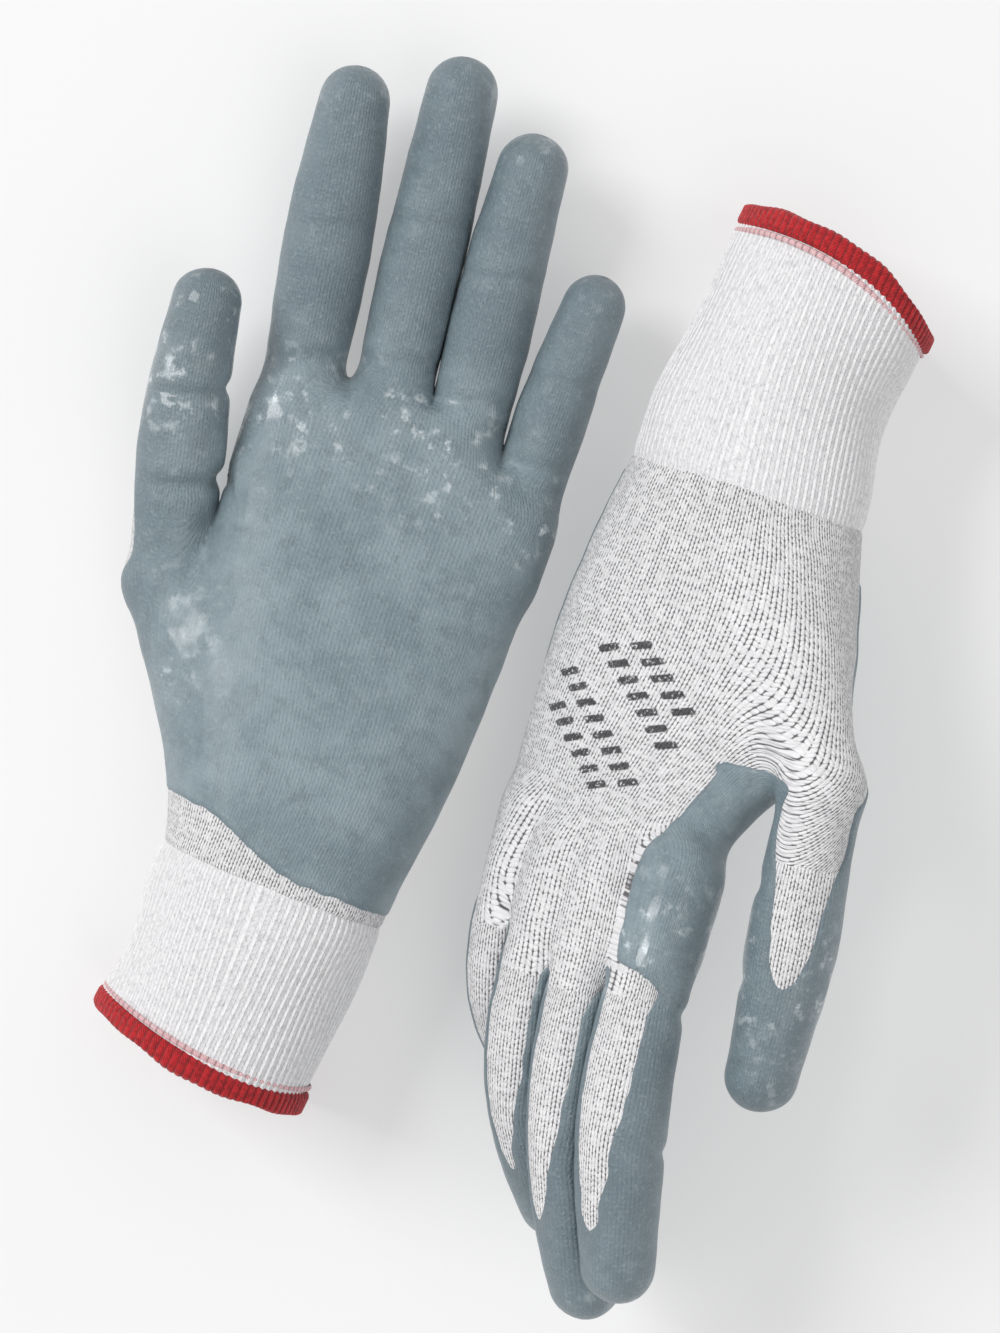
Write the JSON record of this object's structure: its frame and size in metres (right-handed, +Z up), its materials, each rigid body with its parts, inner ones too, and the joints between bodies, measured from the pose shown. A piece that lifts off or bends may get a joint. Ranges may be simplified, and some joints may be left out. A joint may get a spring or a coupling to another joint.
{
  "type": "work gloves",
  "caption": "Seamless knit work gloves with a dipped rubber palm, ribbed elastic cuffs and overlocked hems; the fingers curl at their knuckles.",
  "frame": {"origin": "middle of the pair's footprint, on the surface it lies on", "axes": "+Y along the left glove to its fingertips, +X from the left glove to the right glove, +Z up"},
  "size_m": [0.2092, 0.2672, 0.0748],
  "materials": {
    "knit_liner": "matte knit",
    "nitrile_coating": "semi-gloss",
    "rib_cuff": "matte rib knit",
    "elastic_yarn": "matte",
    "hem_binding": "matte stitched yarn",
    "hem_thread": "matte thread"
  },
  "bodies": {
    "left_hand": {"left_palm_liner": "knit_liner", "left_palm_coating": "nitrile_coating", "left_cuff_rib": "rib_cuff", "left_cuff_elastic": "elastic_yarn", "left_hem_binding": "hem_binding", "left_hem_thread": "hem_thread"},
    "left_thumb": {"left_thumb_liner": "knit_liner", "left_thumb_coating": "nitrile_coating"},
    "left_thumb_tip": {"left_thumb_tip_liner": "knit_liner", "left_thumb_tip_coating": "nitrile_coating"},
    "left_index": {"left_index_liner": "knit_liner", "left_index_coating": "nitrile_coating"},
    "left_index_tip": {"left_index_tip_liner": "knit_liner", "left_index_tip_coating": "nitrile_coating"},
    "left_middle": {"left_middle_liner": "knit_liner", "left_middle_coating": "nitrile_coating"},
    "left_middle_tip": {"left_middle_tip_liner": "knit_liner", "left_middle_tip_coating": "nitrile_coating"},
    "left_ring": {"left_ring_liner": "knit_liner", "left_ring_coating": "nitrile_coating"},
    "left_ring_tip": {"left_ring_tip_liner": "knit_liner", "left_ring_tip_coating": "nitrile_coating"},
    "left_little": {"left_little_liner": "knit_liner", "left_little_coating": "nitrile_coating"},
    "left_little_tip": {"left_little_tip_liner": "knit_liner", "left_little_tip_coating": "nitrile_coating"},
    "right_hand": {"right_palm_liner": "knit_liner", "right_palm_coating": "nitrile_coating", "right_cuff_rib": "rib_cuff", "right_cuff_elastic": "elastic_yarn", "right_hem_binding": "hem_binding", "right_hem_thread": "hem_thread"},
    "right_thumb": {"right_thumb_liner": "knit_liner", "right_thumb_coating": "nitrile_coating"},
    "right_thumb_tip": {"right_thumb_tip_liner": "knit_liner", "right_thumb_tip_coating": "nitrile_coating"},
    "right_index": {"right_index_liner": "knit_liner", "right_index_coating": "nitrile_coating"},
    "right_index_tip": {"right_index_tip_liner": "knit_liner", "right_index_tip_coating": "nitrile_coating"},
    "right_middle": {"right_middle_liner": "knit_liner", "right_middle_coating": "nitrile_coating"},
    "right_middle_tip": {"right_middle_tip_liner": "knit_liner", "right_middle_tip_coating": "nitrile_coating"},
    "right_ring": {"right_ring_liner": "knit_liner", "right_ring_coating": "nitrile_coating"},
    "right_ring_tip": {"right_ring_tip_liner": "knit_liner", "right_ring_tip_coating": "nitrile_coating"},
    "right_little": {"right_little_liner": "knit_liner", "right_little_coating": "nitrile_coating"},
    "right_little_tip": {"right_little_tip_liner": "knit_liner", "right_little_tip_coating": "nitrile_coating"}
  },
  "joints": [
    {"name": "left_thumb_curl", "type": "hinge", "parent": "left_hand", "child": "left_thumb", "pos_m": [-0.08724, 0.01505, 0.01774], "axis": [0.7178, 0.2757, -0.6393], "range_deg": [-4, 54], "stiffness_Nm_per_rad": 0.05},
    {"name": "left_thumb_tip_curl", "type": "hinge", "parent": "left_thumb", "child": "left_thumb_tip", "pos_m": [-0.09239, 0.03666, 0.02128], "axis": [0.7178, 0.2757, -0.6393], "range_deg": [-4, 54], "stiffness_Nm_per_rad": 0.02},
    {"name": "left_index_curl", "type": "hinge", "parent": "left_hand", "child": "left_index", "pos_m": [-0.06855, 0.05426, 0.0124], "axis": [0.9823, 0.1874, 0], "range_deg": [-5, 54], "stiffness_Nm_per_rad": 0.05},
    {"name": "left_index_tip_curl", "type": "hinge", "parent": "left_index", "child": "left_index_tip", "pos_m": [-0.07471, 0.08655, 0.01528], "axis": [0.9823, 0.1874, 0], "range_deg": [-5, 54], "stiffness_Nm_per_rad": 0.02},
    {"name": "left_middle_curl", "type": "hinge", "parent": "left_hand", "child": "left_middle", "pos_m": [-0.04805, 0.06131, 0.0124], "axis": [0.9888, 0.1495, 0], "range_deg": [-5, 53], "stiffness_Nm_per_rad": 0.05},
    {"name": "left_middle_tip_curl", "type": "hinge", "parent": "left_middle", "child": "left_middle_tip", "pos_m": [-0.05326, 0.09578, 0.01545], "axis": [0.9888, 0.1495, 0], "range_deg": [-5, 53], "stiffness_Nm_per_rad": 0.02},
    {"name": "left_ring_curl", "type": "hinge", "parent": "left_hand", "child": "left_ring", "pos_m": [-0.02737, 0.05935, 0.0124], "axis": [0.9934, 0.1149, 0], "range_deg": [-6, 53], "stiffness_Nm_per_rad": 0.05},
    {"name": "left_ring_tip_curl", "type": "hinge", "parent": "left_ring", "child": "left_ring_tip", "pos_m": [-0.03091, 0.08997, 0.01564], "axis": [0.9934, 0.1149, 0], "range_deg": [-6, 53], "stiffness_Nm_per_rad": 0.02},
    {"name": "left_little_curl", "type": "hinge", "parent": "left_hand", "child": "left_little", "pos_m": [-0.00747, 0.0504, 0.0124], "axis": [0.9995, 0.0314, 0], "range_deg": [-6, 52], "stiffness_Nm_per_rad": 0.05},
    {"name": "left_little_tip_curl", "type": "hinge", "parent": "left_little", "child": "left_little_tip", "pos_m": [-0.00816, 0.07226, 0.0147], "axis": [0.9995, 0.0314, 0], "range_deg": [-6, 52], "stiffness_Nm_per_rad": 0.02},
    {"name": "right_thumb_curl", "type": "hinge", "parent": "right_hand", "child": "right_thumb", "pos_m": [0.08828, -0.0215, 0.06425], "axis": [0.9573, 0.1956, -0.2129], "range_deg": [-4, 54], "stiffness_Nm_per_rad": 0.05},
    {"name": "right_thumb_tip_curl", "type": "hinge", "parent": "right_thumb", "child": "right_thumb_tip", "pos_m": [0.09238, -0.04355, 0.06245], "axis": [0.9573, 0.1956, -0.2129], "range_deg": [-4, 54], "stiffness_Nm_per_rad": 0.02},
    {"name": "right_index_curl", "type": "hinge", "parent": "right_hand", "child": "right_index", "pos_m": [0.06849, -0.05824, 0.06536], "axis": [0.6915, 0.0765, 0.7184], "range_deg": [-9, 34], "stiffness_Nm_per_rad": 0.05},
    {"name": "right_index_tip_curl", "type": "hinge", "parent": "right_index", "child": "right_index_tip", "pos_m": [0.07452, -0.0906, 0.063], "axis": [0.6915, 0.0765, 0.7184], "range_deg": [-9, 34], "stiffness_Nm_per_rad": 0.02},
    {"name": "right_middle_curl", "type": "hinge", "parent": "right_hand", "child": "right_middle", "pos_m": [0.0547, -0.06573, 0.05082], "axis": [0.6916, 0.0748, 0.7184], "range_deg": [-13, 42], "stiffness_Nm_per_rad": 0.05},
    {"name": "right_middle_tip_curl", "type": "hinge", "parent": "right_middle", "child": "right_middle_tip", "pos_m": [0.06275, -0.09953, 0.04659], "axis": [0.6916, 0.0748, 0.7184], "range_deg": [-13, 42], "stiffness_Nm_per_rad": 0.02},
    {"name": "right_ring_curl", "type": "hinge", "parent": "right_hand", "child": "right_ring", "pos_m": [0.04046, -0.06422, 0.03614], "axis": [0.6917, 0.073, 0.7185], "range_deg": [-18, 37], "stiffness_Nm_per_rad": 0.05},
    {"name": "right_ring_tip_curl", "type": "hinge", "parent": "right_ring", "child": "right_ring_tip", "pos_m": [0.04938, -0.09338, 0.03052], "axis": [0.6917, 0.073, 0.7185], "range_deg": [-18, 37], "stiffness_Nm_per_rad": 0.02},
    {"name": "right_little_curl", "type": "hinge", "parent": "right_hand", "child": "right_little", "pos_m": [0.02678, -0.0557, 0.02228], "axis": [0.6918, 0.0713, 0.7185], "range_deg": [-23, 32], "stiffness_Nm_per_rad": 0.05},
    {"name": "right_little_tip_curl", "type": "hinge", "parent": "right_little", "child": "right_little_tip", "pos_m": [0.03433, -0.07568, 0.017], "axis": [0.6918, 0.0713, 0.7185], "range_deg": [-23, 32], "stiffness_Nm_per_rad": 0.02},
    {"name": "right_glove_lift", "type": "slide", "parent": "left_hand", "child": "right_hand", "axis": [0, 0, 1], "range_m": [0, 0.12]}
  ],
  "couplings": [
    {"joint": "left_thumb_tip_curl", "follows": "left_thumb_curl", "ratio": 1},
    {"joint": "left_index_tip_curl", "follows": "left_index_curl", "ratio": 1},
    {"joint": "left_middle_tip_curl", "follows": "left_middle_curl", "ratio": 1},
    {"joint": "left_ring_tip_curl", "follows": "left_ring_curl", "ratio": 1},
    {"joint": "left_little_tip_curl", "follows": "left_little_curl", "ratio": 1},
    {"joint": "right_thumb_tip_curl", "follows": "right_thumb_curl", "ratio": 1},
    {"joint": "right_index_tip_curl", "follows": "right_index_curl", "ratio": 1},
    {"joint": "right_middle_tip_curl", "follows": "right_middle_curl", "ratio": 1},
    {"joint": "right_ring_tip_curl", "follows": "right_ring_curl", "ratio": 1},
    {"joint": "right_little_tip_curl", "follows": "right_little_curl", "ratio": 1}
  ]
}
